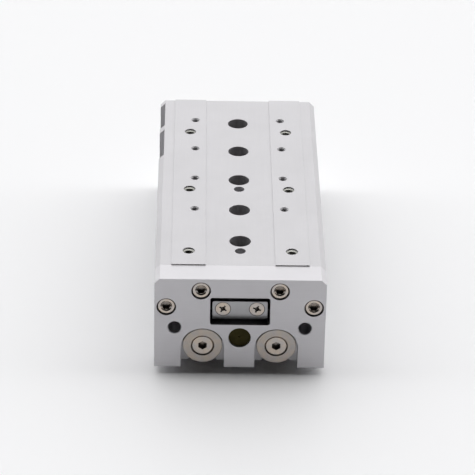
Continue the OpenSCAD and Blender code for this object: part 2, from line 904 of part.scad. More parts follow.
module table_outline() {
    w = width / 2;
    c = edge_chamfer;
    polygon([[-w, wall_z], [-cavity_x, wall_z], [-cavity_x, roof_z], [cavity_x, roof_z],
             [cavity_x, wall_z], [w, wall_z], [w, top_h - c], [w - c, top_h],
             [strip_outer, top_h], [strip_outer, top_h + strip_h],
             [strip_inner, top_h + strip_h], [strip_inner, top_h],
             [-strip_inner, top_h], [-strip_inner, top_h + strip_h],
             [-strip_outer, top_h + strip_h], [-strip_outer, top_h],
             [-w + c, top_h], [-w, top_h - c]]);
}

insert_wall = 0.3;       // what an insert's hole is larger in radius than its thread
insert_height = 0.45;    // height of the insert's thread
insert_sink = 1.2;       // depth of an insert's first turn below the table's strip
insert_r = insert_thread / 2 + insert_wall;
insert_minor_r = insert_thread / 2 - insert_height;
insert_chamfer = 0.15;
insert_depth = top_h + strip_h - roof_z - insert_floor;

function insert_row_y(i) = front_y + table_d + insert_first + i * insert_pitch;

module insert_places() {
    for (side = [-1, 1])
        for (i = [0 : insert_rows - 1])
            translate([side * insert_spacing / 2, insert_row_y(i), top_h + strip_h])
                children();
}

module plate_screw_places() {
    for (side = [-1, 1]) {
        place(side * upper_screw_x, upper_screw_z)
            children();
        place(side * (width / 2 - lower_screw_edge), lower_screw_z)
            children();
    }
}

plate_screw_l = 18;

module stop_seat(d0, d1) {
    translate([-width / 2 - cut, front_y + d0, wall_z - cut])
        cube([seat_depth + cut, d1 - d0, top_h]);
}

module table() {
    rear_seat_end = rear_d - seat_end;
    rear_seat_start = rear_seat_end - rear_seat_l;
    flare = insert_chamfer + seat_gap;
    color(aluminium)
        difference() {
            profile(table_d, rear_d)
                table_outline();
            stop_seat(rear_seat_start, rear_seat_end);
            stop_seat(rear_seat_start - seat_rib - front_seat_l, rear_seat_start - seat_rib);
            rail_bolt_access();
            insert_places() {
                translate([0, 0, -insert_depth])
                    cylinder(h = insert_depth + cut, r = insert_r);
                translate([0, 0, -insert_chamfer])
                    cylinder(h = flare, r1 = insert_r, r2 = insert_r + flare);
            }
            for (i = [0, 1])
                translate([0, insert_row_y(i) + dowel_shift, top_h - dowel_depth])
                    cylinder(h = dowel_depth + cut, d = dowel_d);
            block_screw_places()
                translate([0, 0, block_z])
                    cylinder(h = top_h, d = minor_d(M5));
            plate_screw_places()
                bar(table_d - cut, head_sink + head_h(M5) + plate_screw_l + cut, minor_d(M5) / 2);
        }
}

// Threaded inserts: a coil drawn as rings, one for each turn of the thread
module thread_inserts() {
    pitch = 0.8;
    crest = 0.25;
    root = 0.15;
    root_wall = 0.35;
    lead_in = 0.35;
    flank = (pitch - crest - root) / 2;
    turns = floor((insert_depth - insert_sink) / pitch);
    root_r = insert_r - root_wall;
    outer_r = insert_r - seat_gap;
    thread = [for (i = [0 : turns - 1])
              for (p = [[root_r, flank], [root_r, flank + root],
                        [insert_minor_r, pitch - crest], [insert_minor_r, pitch]])
              [p[0], (i - turns) * pitch + p[1]]];
    color(chromed)
        insert_places()
            translate([0, 0, -insert_sink])
                rotate_extrude($fn = 36)
                    polygon(concat([[root_r, -turns * pitch]], thread,
                                   [[outer_r, lead_in], [outer_r, -turns * pitch]]));
}

module plate_outline() {
    w = width / 2;
    c = edge_chamfer;
    polygon([[-w, plate_lift], [w, plate_lift], [w, top_h - c], [w - c, top_h],
             [-w + c, top_h], [-w, top_h - c]]);
}

// A U-shaped slot of width w, open towards the base; its round end lies drop below the bore
module rod_slot(d0, d1, w, drop) {
    place(0, -drop)
        bar(d0, d1, w / 2);
    block_y(d0, d1, w / 2, -bore_z - cut, -drop);
}

module window_hole() {
    half_w = rail_w / 2 + window_gap;
    z0 = body_h - sill_drop;
    d0 = -cut;
    d1 = plate_t + cut;
    block_y(d0, d1, half_w - window_r, z0, roof_z);
    block_y(d0, d1, half_w, z0 + window_r, roof_z - window_r);
    for (side = [-1, 1])
        for (z = [z0 + window_r, roof_z - window_r])
            place(side * (half_w - window_r), z)
                bar(d0, d1, window_r);
}

module end_plate() {
    hole_edge = 0.4;
    color(aluminium)
        difference() {
            profile(0, plate_t)
                plate_outline();
            window_hole();
            plate_screw_places()
                screw_seat(0, plate_t, M5);
            both_bores() {
                rod_slot(-cut, slot_depth, slot_w, bush_gap - bush_top_gap);
                rod_slot(-cut, plate_t + cut, neck_slot_w, 0);
            }
            for (side = [-1, 1])
                place(side * front_hole_x, front_hole_z) {
                    bar(-cut, plate_t + cut, front_hole_d / 2);
                    taper(-seat_gap, hole_edge, front_hole_d / 2 + hole_edge + seat_gap, front_hole_d / 2);
                }
            place(0, bumper_z)
                bar(-cut, plate_t + cut, bumper_hole_d / 2);
        }
}

module plate_screws() {
    color(stainless)
        plate_screw_places()
            socket_screw(head_sink, M5, plate_t - head_sink - head_h(M5), plate_screw_l);
}

// A soft plug that meets the body's front face when the table is pulled in
module retract_bumper() {
    r = bumper_hole_d / 2 - seat_gap;
    front = 1.2;
    dimple_r = 0.6;
    dimple = 0.5;
    color(urethane)
        place(0, bumper_z)
            difference() {
                bar(front, body_d - stop_gap, r);
                taper(front - seat_gap, front + dimple, dimple_r, dimple_r / 2);
            }
}

// ---- Rods, pistons and floating bushes ----

nut_w = 10;
nut_h = 4;
nut_pocket_d = 13;
nut_pocket = 5.5;
spigot_d = 6;
spigot_sink = 0.8;       // how far a rod's spigot ends inside the piston's rear face
spigot_end = piston_end_d - spigot_sink;
seal_place = 4;
magnet_place = 10.5;
wear_place = 17.5;
ring_w = 4;              // width of the grooves in a piston
ring_side_gap = 0.05;
piston_gap = 0.08;

module piston_rod() {
    tip = 0.5;
    difference() {
        union() {
            taper(bush_end_d, bush_end_d + tip, rod_r - tip, rod_r);
            bar(bush_end_d + tip, piston_d, rod_r);
            bar(piston_d, spigot_end, spigot_d / 2 - thread_gap);
        }
        bar(bush_end_d - cut, bush_end_d + rod_bolt_l + cut, rod_bolt_minor / 2);
    }
}

module piston_groove(at, depth) {
    sleeve(piston_d + at, piston_d + at + ring_w, bore_r + cut, bore_r - depth);
}

seal_depth = 2.6;
magnet_depth = 3;
wear_depth = 1.2;

module piston() {
    difference() {
        bar(piston_d, piston_end_d, bore_r - piston_gap);
        bar(piston_d - cut, piston_end_d + cut, spigot_d / 2);
        bar(piston_end_d - nut_pocket, piston_end_d + cut, nut_pocket_d / 2);
        piston_groove(seal_place, seal_depth);
        piston_groove(magnet_place, magnet_depth);
        piston_groove(wear_place, wear_depth);
    }
}

// A ring that fills a piston groove up to an outer radius
module groove_ring(at, depth, r_out) {
    d0 = piston_d + at + ring_side_gap;
    sleeve(d0, d0 + ring_w - 2 * ring_side_gap, r_out, bore_r - depth + seat_gap);
}

// Two lips with a groove between them
module piston_seal() {
    lip_w = 1.2;
    lip_depth = 0.8;
    d0 = piston_d + seal_place;
    difference() {
        groove_ring(seal_place, seal_depth, bore_r - slide_gap);
        sleeve(d0 + lip_w, d0 + ring_w - lip_w, bore_r + cut, bore_r - lip_depth);
    }
}

module wear_ring() {
    groove_ring(wear_place, wear_depth, bore_r - slide_gap);
}

module magnet() {
    air_gap = 0.5;
    groove_ring(magnet_place, magnet_depth, bore_r - air_gap);
}

module piston_nut() {
    d0 = piston_end_d - nut_pocket;
    difference() {
        translate([0, front_y + d0, 0])
            rotate([-90, 0, 0])
                cylinder(h = nut_h, r = nut_w / sqrt(3), $fn = 6);
        bar(d0 - cut, d0 + nut_h + cut, spigot_d / 2);
    }
}

module floating_bush() {
    edge = 0.3;
    r = bush_d / 2;
    difference() {
        union() {
            taper(0, edge, r - edge, r);
            bar(edge, slot_depth - web_gap, r);
            bar(slot_depth - web_gap, neck_end_d, neck_d / 2);
            bar(neck_end_d, bush_end_d, rear_flange_d / 2);
        }
        bar(-cut, rod_bolt_sink + rod_bolt_head_h, rod_bolt_head_d / 2 + rod_bolt_gap);
        bar(-cut, bush_end_d + cut, rod_bolt_d / 2 + rod_shank_gap);
    }
}

module rod_end_bolts() {
    shank_d = rod_bolt_sink + rod_bolt_head_h;
    edge = 0.5;
    r = rod_bolt_head_d / 2;
    key = 4;
    socket = 2.4;
    color(stainless)
        both_bores()
            difference() {
                union() {
                    taper(rod_bolt_sink, rod_bolt_sink + edge, r - edge, r);
                    bar(rod_bolt_sink + edge, shank_d, r);
                    bar(shank_d, bush_end_d, rod_bolt_d / 2 - thread_gap);
                    bar(bush_end_d, bush_end_d + rod_bolt_l, rod_bolt_minor / 2 - thread_gap);
                }
                rotate([0, 30, 0])
                    hex_bar(-cut, rod_bolt_sink + socket, key);
            }
}

module left_piston_rod() color(chromed) at_bore(-1) piston_rod();
module right_piston_rod() color(chromed) at_bore(1) piston_rod();
module left_piston() color(bronze) at_bore(-1) piston();
module right_piston() color(bronze) at_bore(1) piston();
module left_piston_seal() color(nitrile) at_bore(-1) piston_seal();
module right_piston_seal() color(nitrile) at_bore(1) piston_seal();
module left_wear_ring() color(resin) at_bore(-1) wear_ring();
module right_wear_ring() color(resin) at_bore(1) wear_ring();
module left_magnet() color(magnetic) at_bore(-1) magnet();
module right_magnet() color(magnetic) at_bore(1) magnet();
module left_piston_nut() color(steel) at_bore(-1) piston_nut();
module right_piston_nut() color(steel) at_bore(1) piston_nut();
module left_floating_bush() color(stainless) at_bore(-1) floating_bush();
module right_floating_bush() color(stainless) at_bore(1) floating_bush();

// ---- Output ----

cylinder_body();
guide_rail();
rail_bolts();
rail_end_cover();
rail_cover_screws();
left_rod_cover();
right_rod_cover();
left_rod_bearing();
right_rod_bearing();
left_rod_seal();
right_rod_seal();
rod_cover_o_rings();
rod_cover_rings();
left_front_stop();
right_front_stop();
left_rear_stop();
right_rear_stop();
left_head_cap();
right_head_cap();
head_cap_o_rings();
head_cap_rings();
port_plugs();
table();
end_plate();
plate_screws();
retract_bumper();
thread_inserts();
guide_block();
block_screws();
front_ball_cap();
rear_ball_cap();
front_scraper();
rear_scraper();
ball_cap_screws();
guide_balls();
left_piston_rod();
right_piston_rod();
left_piston();
right_piston();
left_piston_seal();
right_piston_seal();
left_wear_ring();
right_wear_ring();
left_magnet();
right_magnet();
left_piston_nut();
right_piston_nut();
left_floating_bush();
right_floating_bush();
rod_end_bolts();
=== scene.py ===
"""Looks of a pneumatic slide table: finishes, fine edges, thread, studio light and camera.

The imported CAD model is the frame. Its nodes keep their places. This script gives them edges and
materials, and adds the thread in the table's screw holes, which rides on the table's body.
"""

import json
import math

import bpy
from mathutils import Matrix, Vector

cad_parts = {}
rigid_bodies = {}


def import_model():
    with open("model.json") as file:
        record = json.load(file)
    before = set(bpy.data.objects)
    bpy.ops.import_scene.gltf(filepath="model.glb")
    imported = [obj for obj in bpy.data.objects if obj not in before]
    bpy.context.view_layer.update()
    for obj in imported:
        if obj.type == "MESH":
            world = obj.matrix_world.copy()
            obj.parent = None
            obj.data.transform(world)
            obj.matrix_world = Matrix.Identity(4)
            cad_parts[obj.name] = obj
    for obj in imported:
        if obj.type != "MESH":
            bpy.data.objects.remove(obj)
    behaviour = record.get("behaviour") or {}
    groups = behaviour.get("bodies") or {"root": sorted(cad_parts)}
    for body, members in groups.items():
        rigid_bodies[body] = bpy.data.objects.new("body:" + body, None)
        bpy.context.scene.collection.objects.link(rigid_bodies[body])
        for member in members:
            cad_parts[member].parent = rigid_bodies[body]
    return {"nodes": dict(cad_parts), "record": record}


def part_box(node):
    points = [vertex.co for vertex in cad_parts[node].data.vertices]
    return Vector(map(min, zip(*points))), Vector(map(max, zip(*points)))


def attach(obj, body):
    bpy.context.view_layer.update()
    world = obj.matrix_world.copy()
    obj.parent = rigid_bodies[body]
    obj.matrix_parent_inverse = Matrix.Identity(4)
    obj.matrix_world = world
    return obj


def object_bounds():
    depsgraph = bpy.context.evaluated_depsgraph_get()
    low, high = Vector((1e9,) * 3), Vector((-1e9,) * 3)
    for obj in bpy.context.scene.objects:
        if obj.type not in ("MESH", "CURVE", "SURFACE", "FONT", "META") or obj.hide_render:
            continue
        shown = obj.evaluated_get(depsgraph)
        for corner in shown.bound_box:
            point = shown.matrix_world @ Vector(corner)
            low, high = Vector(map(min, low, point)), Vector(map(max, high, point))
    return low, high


MM = 0.001

# ---------------------------------------------------------------- frame

for leftover in list(bpy.data.objects):
    bpy.data.objects.remove(leftover)

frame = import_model()
cad_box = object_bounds()
nodes = frame["nodes"]
slot_of = {row["node"]: row["material_slot"] for row in frame["record"]["subparts"]}


def centre(node):
    """The middle of a CAD node's box at rest."""
    low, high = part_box(node)
    return (low + high) / 2


def islands(node):
    """Box centres of a node's separate solids, from its own mesh."""
    mesh = nodes[node].data
    keys = [tuple(round(c, 6) for c in v.co) for v in mesh.vertices]
    parent = {key: key for key in keys}

    def root(key):
        while parent[key] != key:
            parent[key] = parent[parent[key]]
            key = parent[key]
        return key

    for edge in mesh.edges:
        start, end = (root(keys[i]) for i in edge.vertices)
        parent[start] = end
    groups = {}
    for key in parent:
        groups.setdefault(root(key), []).append(key)
    found = []
    for points in groups.values():
        low = [min(p[i] for p in points) for i in range(3)]
        high = [max(p[i] for p in points) for i in range(3)]
        found.append(tuple((a + b) / 2 for a, b in zip(low, high)))
    return sorted(found)


def sunk_heads(node):
    """Centres and head radius of a group of like screws along Y."""
    centres = islands(node)
    outermost = max(x for x, y, z in centres)
    return centres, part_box(node)[1].x - outermost


def add_mesh(name, points, faces, material):
    """Puts a new mesh in the scene."""
    mesh = bpy.data.meshes.new(name)
    mesh.from_pydata(points, [], faces)
    mesh.materials.append(material)
    obj = bpy.data.objects.new(name, mesh)
    bpy.context.scene.collection.objects.link(obj)
    return obj


# ---------------------------------------------------------------- node helpers

# Cosine between the true normal and one rounded over an edge: unworn from the first, fully worn
# below the second
FLAT_COSINE = 0.99
SHARP_COSINE = 0.80

BEVEL_SAMPLES = 4
HOLLOW_SAMPLES = 6

# Millimetres outside a sunk head: the painted shade of its gap is full up to the first and gone from
# the second
SEAT_DARK = 0.25
SEAT_UNSHADED = 0.45

# What is kept of an offset to measure it across an axis
ACROSS_AXIS = {"X": (0, 1, 1), "Y": (1, 0, 1), "Z": (1, 1, 0)}


def scaled(colour, *factors):
    """A colour times one factor, or times one for each channel, with no channel over 1."""
    if len(factors) == 1:
        factors *= 3
    return tuple(min(1, c * f) for c, f in zip(colour, factors))


class Graph:
    """A material's node tree with short calls for the nodes used here."""

    def __init__(self, name):
        self.material = bpy.data.materials.new(name)
        self.material.use_nodes = True
        self.tree = self.material.node_tree
        self.shader = self.tree.nodes["Principled BSDF"]

    def node(self, kind, **values):
        made = self.tree.nodes.new(kind)
        for key, value in values.items():
            setattr(made, key, value)
        return made

    def link(self, source, target):
        self.tree.links.new(source, target)

    def feed(self, socket, value):
        """Links an output to a socket, or sets a plain value on it."""
        if hasattr(value, "is_output"):
            self.link(value, socket)
        else:
            socket.default_value = value

    def place(self):
        """Object coordinates."""
        return self.node("ShaderNodeTexCoord").outputs["Object"]

    def noise(self, size, stretch=(1, 1, 1), detail=3.0):
        """Noise with blotches of about this size in millimetres; small stretch makes long lines."""
        mapping = self.node("ShaderNodeMapping")
        mapping.inputs["Scale"].default_value = stretch
        self.link(self.place(), mapping.inputs["Vector"])
        texture = self.node("ShaderNodeTexNoise")
        texture.inputs["Scale"].default_value = 1 / (size * MM)
        texture.inputs["Detail"].default_value = detail
        texture.inputs["Roughness"].default_value = 0.55
        self.link(mapping.outputs["Vector"], texture.inputs["Vector"])
        return texture.outputs["Fac"]

    def math(self, operation, a, b=0.0):
        made = self.node("ShaderNodeMath", operation=operation)
        self.feed(made.inputs[0], a)
        self.feed(made.inputs[1], b)
        return made.outputs[0]

    def vector_math(self, operation, a, b=None):
        """A vector node's outputs by name, "Vector" and "Value"; b is an output or a plain vector."""
        made = self.node("ShaderNodeVectorMath", operation=operation)
        self.link(a, made.inputs[0])
        if b is not None:
            self.feed(made.inputs[1], b)
        return made.outputs

    def spread(self, value, low_out, high_out, low_in, high_in):
        """Maps a value from one range to another and holds it there."""
        made = self.node("ShaderNodeMapRange")
        self.link(value, made.inputs["Value"])
        made.inputs["From Min"].default_value = low_in
        made.inputs["From Max"].default_value = high_in
        made.inputs["To Min"].default_value = low_out
        made.inputs["To Max"].default_value = high_out
        return made.outputs["Result"]

    def contrast(self, noise, low, high):
        """0 where a noise is under the low value and 1 where it is over the high one."""
        return self.spread(noise, 0, 1, low, high)

    def around(self, mean, *parts):
        """A number that noises carry to both sides of its mean, each by its own share."""
        total = mean - sum(share for noise, share in parts) / 2
        for noise, share in parts:
            total = self.math("ADD", self.math("MULTIPLY", noise, share), total)
        return total

    def blend(self, factor, a, b):
        """Mixes two colours, given as triples or outputs."""
        made = self.node("ShaderNodeMix", data_type="RGBA")
        first, second, result = made.inputs[6], made.inputs[7], made.outputs[2]
        self.feed(made.inputs[0], factor)
        for socket, value in ((first, a), (second, b)):
            self.feed(socket, value if hasattr(value, "is_output") else (*value, 1))
        return result

    def lay(self, under, over, mask, share):
        """Lays a colour over another where a mask is 1, at this share of full cover."""
        return self.blend(self.math("MULTIPLY", mask, share), under, over)

    def away(self, centres, axis="Y"):
        """Distance from the nearest of some centres, in the plane across an axis."""
        coords = self.place()
        nearest = None
        for point in centres:
            offset = self.vector_math("SUBTRACT", coords, point)["Vector"]
            flat = self.vector_math("MULTIPLY", offset, ACROSS_AXIS[axis])["Vector"]
            length = self.vector_math("LENGTH", flat)["Value"]
            nearest = length if nearest is None else self.math("MINIMUM", nearest, length)
        return nearest

    def rings(self, centres, pitch, axis):
        """Turning marks: waves round the nearest of some centres, in the plane across an axis."""
        turns = self.math("MULTIPLY", self.away(centres, axis), 2 * math.pi / (pitch * MM))
        return self.spread(self.math("SINE", turns), 0, 1, -1, 1)

    def within(self, corner, far_corner):
        """1 inside an upright box and 0 outside."""
        offset = self.vector_math("SUBTRACT", self.place(), (corner + far_corner) / 2)["Vector"]
        size = self.vector_math("ABSOLUTE", offset)["Vector"]
        beyond = self.vector_math("SUBTRACT", size, (far_corner - corner) / 2)["Vector"]
        split = self.node("ShaderNodeSeparateXYZ")
        self.link(beyond, split.inputs[0])
        x, y, z = split.outputs
        return self.math("LESS_THAN", self.math("MAXIMUM", self.math("MAXIMUM", x, y), z), 0.0)

    def bump(self, height, depth, strength, normal=None):
        """A bump of a depth in millimetres, on top of an earlier normal."""
        made = self.node("ShaderNodeBump")
        made.inputs["Strength"].default_value = strength
        made.inputs["Distance"].default_value = depth * MM
        self.link(height, made.inputs["Height"])
        if normal is not None:
            self.link(normal, made.inputs["Normal"])
        return made.outputs["Normal"]

    def edges(self, radius):
        """0 on flat faces and up to 1 on edges sharper than a radius in millimetres."""
        rounded = self.node("ShaderNodeBevel", samples=BEVEL_SAMPLES)
        rounded.inputs["Radius"].default_value = radius * MM
        true = self.node("ShaderNodeNewGeometry")
        normals = rounded.outputs["Normal"], true.outputs["Normal"]
        cosine = self.vector_math("DOT_PRODUCT", *normals)["Value"]
        return self.spread(cosine, 1, 0, SHARP_COSINE, FLAT_COSINE)

    def seats(self, centres, radius):
        """1 up to just outside screw heads sunk along Y: the mask for the painted shade of the gap
        round them.
        """
        dark, unshaded = radius + SEAT_DARK * MM, radius + SEAT_UNSHADED * MM
        return self.spread(self.away(centres), 1, 0, dark, unshaded)

    def hollows(self, reach, shut, clear):
        """1 in the piece's own hollows and 0 on its open faces.

        Reach is in millimetres. Shut and clear are how open a point is for 1 and for 0.
        """
        made = self.node("ShaderNodeAmbientOcclusion", samples=HOLLOW_SAMPLES, only_local=True)
        made.inputs["Distance"].default_value = reach * MM
        return self.spread(made.outputs["AO"], 1, 0, shut, clear)

    def finish(self, colour, metallic, rough, normal):
        """Sets the four things that every finish has."""
        self.link(colour, self.shader.inputs["Base Color"])
        self.shader.inputs["Metallic"].default_value = metallic
        self.link(rough, self.shader.inputs["Roughness"])
        self.link(normal, self.shader.inputs["Normal"])
        return self.material


# ---------------------------------------------------------------- finishes

# Painted shade: a near-black colour laid where shade falls, in hollows and in gaps between parts
PAINTED_SHADE = (0.030, 0.022, 0.020)
GAP_SHARE = 0.85  # of painted shade in the gaps round sunk heads
# Painted light: a near-white colour laid on faces that lie in shade
PAINTED_LIGHT = (1.0, 0.99, 1.0)
WORN_ALUMINIUM = (0.93, 0.93, 0.93)
WORN_STEEL = (0.88, 0.88, 0.88)
WORN_TURNED_STEEL = (0.9, 0.89, 0.87)
STEEL_EDGE = 0.12  # millimetres of wear
ALUMINIUM_EDGE = 0.18

# Stretches of noise that make it lines
LENGTHWAYS = (1, 0.02, 1)
ACROSS = (0.02, 1, 1)


def anodised(name, base, rough, streak, painted_shade_box=None, heads=None, bright=None):
    """Clear anodised aluminium: fine blasted grain, faint tool streaks and pale worn edges.

    The box of painted shade, by two corners, has its hollows darkened where shade falls in them.
    Heads are the centres and the radius of sunk screws, round which the gap gets painted shade.
    The box of painted light, by two corners, has its faces lightened as painted light.
    """
    g = Graph(name)
    cloud = g.noise(size=22, detail=4)
    fine = g.noise(size=0.25, detail=2)
    lines = g.noise(size=0.35, stretch=streak, detail=2)
    colour = g.blend(g.contrast(cloud, 0.3, 0.7), scaled(base, 0.955), scaled(base, 1.03))
    colour = g.lay(colour, scaled(base, 0.8), g.contrast(lines, 0.35, 0.65), share=0.10)
    colour = g.lay(colour, WORN_ALUMINIUM, g.edges(ALUMINIUM_EDGE), share=0.30)
    # Painted shade: the hollows in the box, the window's sill and walls, darkened where shade falls
    if painted_shade_box:
        window_shade = g.math("MULTIPLY", g.hollows(reach=25, shut=0.5, clear=0.9), g.within(*painted_shade_box))
        colour = g.lay(colour, PAINTED_SHADE, window_shade, share=0.9)
    # Painted shade in the gaps round sunk heads
    if heads:
        colour = g.lay(colour, PAINTED_SHADE, g.seats(*heads), GAP_SHARE)
    # Painted light: the strips' front end faces lightened where the dark front leaves them in shade
    if bright:
        colour = g.lay(colour, PAINTED_LIGHT, g.within(*bright), share=0.95)
    normal = g.bump(fine, depth=0.004, strength=0.6)
    normal = g.bump(lines, depth=0.004, strength=0.5, normal=normal)
    return g.finish(colour, 0.85, g.around(rough, (fine, 0.10), (cloud, 0.06)), normal)


def turned_steel(name, base, rough, centres, pitch, depth, axis="Y", shade_reach=None):
    """Turned or faced metal: rings round each axis, a little colour drift and worn edges.

    Pitch and depth of the rings are in millimetres. The shade reach, in millimetres, finds a screw's
    socket and other hollows, which get painted shade.
    """
    g = Graph(name)
    rings = g.rings(centres, pitch, axis)
    drift = g.noise(size=3.5)
    fine = g.noise(size=0.12, detail=2)
    cool = scaled(base, 0.92, 0.95, 1.0)
    warm = scaled(base, 1.06, 1.0, 0.92)
    colour = g.blend(g.contrast(drift, 0.35, 0.65), cool, warm)
    colour = g.lay(colour, scaled(base, 0.6), rings, share=0.12)
    colour = g.lay(colour, WORN_TURNED_STEEL, g.edges(STEEL_EDGE), share=0.35)
    # Painted shade in the screw's socket and other hollows
    if shade_reach:
        colour = g.lay(colour, PAINTED_SHADE, g.hollows(shade_reach, shut=0.4, clear=0.9), share=0.75)
    normal = g.bump(fine, depth=0.002, strength=0.5)
    normal = g.bump(rings, depth, strength=0.7, normal=normal)
    return g.finish(colour, 0.95, g.around(rough, (fine, 0.12)), normal)


def plain_steel(name, base, rough, metallic=0.95, stretch=(1, 1, 1), heads=None):
    """Ground, rolled or drawn steel: fine lines, along the stretch, and a faint oily drift.

    Heads are the centres and the radius of sunk screws, round which the gap gets painted shade.
    """
    g = Graph(name)
    lines = g.noise(size=0.25, stretch=stretch)
    drift = g.noise(size=6)
    colour = g.blend(g.contrast(drift, 0.3, 0.7), scaled(base, 0.9), base)
    colour = g.lay(colour, scaled(base, 0.7), g.contrast(lines, 0.35, 0.7), share=0.18)
    colour = g.lay(colour, WORN_STEEL, g.edges(STEEL_EDGE), share=0.3)
    # Painted shade in the gaps round sunk heads
    if heads:
        colour = g.lay(colour, PAINTED_SHADE, g.seats(*heads), GAP_SHARE)
    normal = g.bump(lines, depth=0.003, strength=0.6)
    return g.finish(colour, metallic, g.around(rough, (lines, 0.14)), normal)


def soft(name, base, rough, grain=0.12, sheen=0.0, shine=0.5):
    """Moulded rubber or resin: a fine skin with dull and shiny patches.

    Grain is the skin's size in millimetres and shine the level of its mirror reflection.
    """
    g = Graph(name)
    skin = g.noise(grain)
    patch = g.noise(size=3)
    light = tuple(c + 0.004 for c in scaled(base, 1.5))
    colour = g.blend(g.contrast(patch, 0.3, 0.7), base, light)
    g.shader.inputs["Sheen Weight"].default_value = sheen
    g.shader.inputs["Specular IOR Level"].default_value = shine
    normal = g.bump(skin, depth=0.01, strength=0.6)
    return g.finish(colour, 0.0, g.around(rough, (patch, 0.14)), normal)


# Millimetres
WINDOW_MARGIN = (2, 8, 5)  # round the cover plate, up to the window's walls
STRIP_END_MARGIN = 0.1


def window():
    """A box, by two corners, with the cover plate and the window's walls, whose hollows get painted
    shade.
    """
    low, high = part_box("rail_end_cover")
    margin = Vector(WINDOW_MARGIN) * MM
    return low - margin, high + margin


def strip_ends():
    """A box, by two corners, with the front ends of the table's strips above the end plate, which get
    painted light.
    """
    low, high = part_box("table")
    plate_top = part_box("end_plate")[1].z
    margin = STRIP_END_MARGIN * MM
    corner = Vector((low.x, low.y - margin, plate_top))
    far_corner = Vector((high.x, low.y + margin, high.z + margin))
    return corner, far_corner


def pair(name):
    """The middles of a left and a right piece."""
    return [centre("left_" + name), centre("right_" + name)]


def finishes():
    """For each slot, its kind of finish and the numbers of it."""
    return {
        "table_aluminium": (anodised, dict(
            base=(0.515, 0.508, 0.523), rough=0.50, streak=LENGTHWAYS, bright=strip_ends())),
        "plate_aluminium": (anodised, dict(
            base=(0.555, 0.546, 0.565), rough=0.42, streak=ACROSS, painted_shade_box=window(),
            heads=sunk_heads("plate_screws"))),
        "body_anodised": (anodised, dict(
            base=(0.54, 0.54, 0.555), rough=0.45, streak=LENGTHWAYS)),
        "guide_steel": (plain_steel, dict(
            base=(0.50, 0.50, 0.50), rough=0.30, stretch=LENGTHWAYS)),
        "cover_steel": (plain_steel, dict(
            base=(0.41, 0.41, 0.42), rough=0.34, stretch=ACROSS,
            heads=sunk_heads("rail_cover_screws"))),
        "spring_steel": (plain_steel, dict(base=(0.16, 0.16, 0.17), rough=0.42)),
        "insert_steel": (plain_steel, dict(base=(0.40, 0.40, 0.37), rough=0.34)),
        "rod_chrome": (plain_steel, dict(
            base=(0.80, 0.80, 0.82), rough=0.10, metallic=1.0, stretch=ACROSS)),
        "ball_steel": (plain_steel, dict(base=(0.78, 0.78, 0.80), rough=0.08, metallic=1.0)),
        "cap_aluminium": (turned_steel, dict(
            base=(0.62, 0.62, 0.63), rough=0.34, centres=pair("head_cap"),
            pitch=0.35, depth=0.006)),
        "bush_steel": (turned_steel, dict(
            base=(0.435, 0.40, 0.37), rough=0.36, centres=pair("floating_bush"),
            pitch=0.9, depth=0.03)),
        "piston_brass": (turned_steel, dict(
            base=(0.60, 0.50, 0.28), rough=0.30, centres=pair("piston"),
            pitch=0.35, depth=0.006)),
        "bronze": (turned_steel, dict(
            base=(0.48, 0.34, 0.17), rough=0.45, centres=pair("rod_bearing"),
            pitch=0.35, depth=0.006)),
        "resin": (soft, dict(base=(0.030, 0.030, 0.032), rough=0.45)),
        "nitrile": (soft, dict(base=(0.020, 0.020, 0.020), rough=0.55, sheen=0.1)),
        "urethane": (soft, dict(base=(0.031, 0.025, 0.004), rough=0.62, grain=0.3, shine=0.1)),
        "magnet": (soft, dict(base=(0.05, 0.05, 0.05), rough=0.6)),
    }


# The nodes of screws and plugs, with the axis they point along
SCREW_AXES = {
    "rail_bolts": "Z",
    "block_screws": "Z",
    "plate_screws": "Y",
    "rail_cover_screws": "Y",
    "ball_cap_screws": "Y",
    "rod_end_bolts": "Y",
    "port_plugs": "X",
}
# The last entry is the reach in millimetres within which the screws' hollows get painted shade
SCREW_LOOK = dict(base=(0.535, 0.485, 0.44), rough=0.24, pitch=0.22, depth=0.003, shade_reach=3)


def dress_nodes():
    """Gives every CAD node its finish; each group of screws has one with its own centres."""
    made = {slot: kind(slot, **look) for slot, (kind, look) in finishes().items()}
    for node, obj in nodes.items():
        if node in SCREW_AXES:
            finish = turned_steel(
                "screw_steel_" + node, centres=islands(node), axis=SCREW_AXES[node], **SCREW_LOOK)
        else:
            finish = made[slot_of[node]]
        for place in obj.material_slots:
            place.material = finish


# ---------------------------------------------------------------- edges

# Degrees between faces
FLAT_BELOW = 0.3
SMOOTH_BELOW = 28
BEVEL_ABOVE = 35

WELD_DISTANCE = 1e-6  # metres
BEVEL_SEGMENTS = 2

# Widths of the broken edges in millimetres
EDGE_WIDTHS = {
    "table": 0.09,
    "end_plate": 0.07,
    "cylinder_body": 0.15,
    "rail_end_cover": 0.12,
    "guide_rail": 0.12,
    "guide_block": 0.12,
}


def smooth_by_angle(angle):
    """A node group that shades smooth apart from edges above an angle."""
    group = bpy.data.node_groups.new("smooth_by_angle", "GeometryNodeTree")
    group.interface.new_socket("Geometry", in_out="INPUT", socket_type="NodeSocketGeometry")
    group.interface.new_socket("Geometry", in_out="OUTPUT", socket_type="NodeSocketGeometry")
    start = group.nodes.new("NodeGroupInput")
    end = group.nodes.new("NodeGroupOutput")
    faces = group.nodes.new("GeometryNodeSetShadeSmooth")
    faces.domain = "FACE"
    sharp = group.nodes.new("GeometryNodeSetShadeSmooth")
    sharp.domain = "EDGE"
    sharp.inputs["Shade Smooth"].default_value = False
    measured = group.nodes.new("GeometryNodeInputMeshEdgeAngle")
    above = group.nodes.new("FunctionNodeCompare")
    above.data_type = "FLOAT"
    above.operation = "GREATER_THAN"
    above.inputs["B"].default_value = angle
    link = group.links.new
    link(start.outputs[0], faces.inputs["Geometry"])
    link(faces.outputs["Geometry"], sharp.inputs["Geometry"])
    link(measured.outputs["Unsigned Angle"], above.inputs["A"])
    link(above.outputs["Result"], sharp.inputs["Selection"])
    link(sharp.outputs["Geometry"], end.inputs[0])
    return group


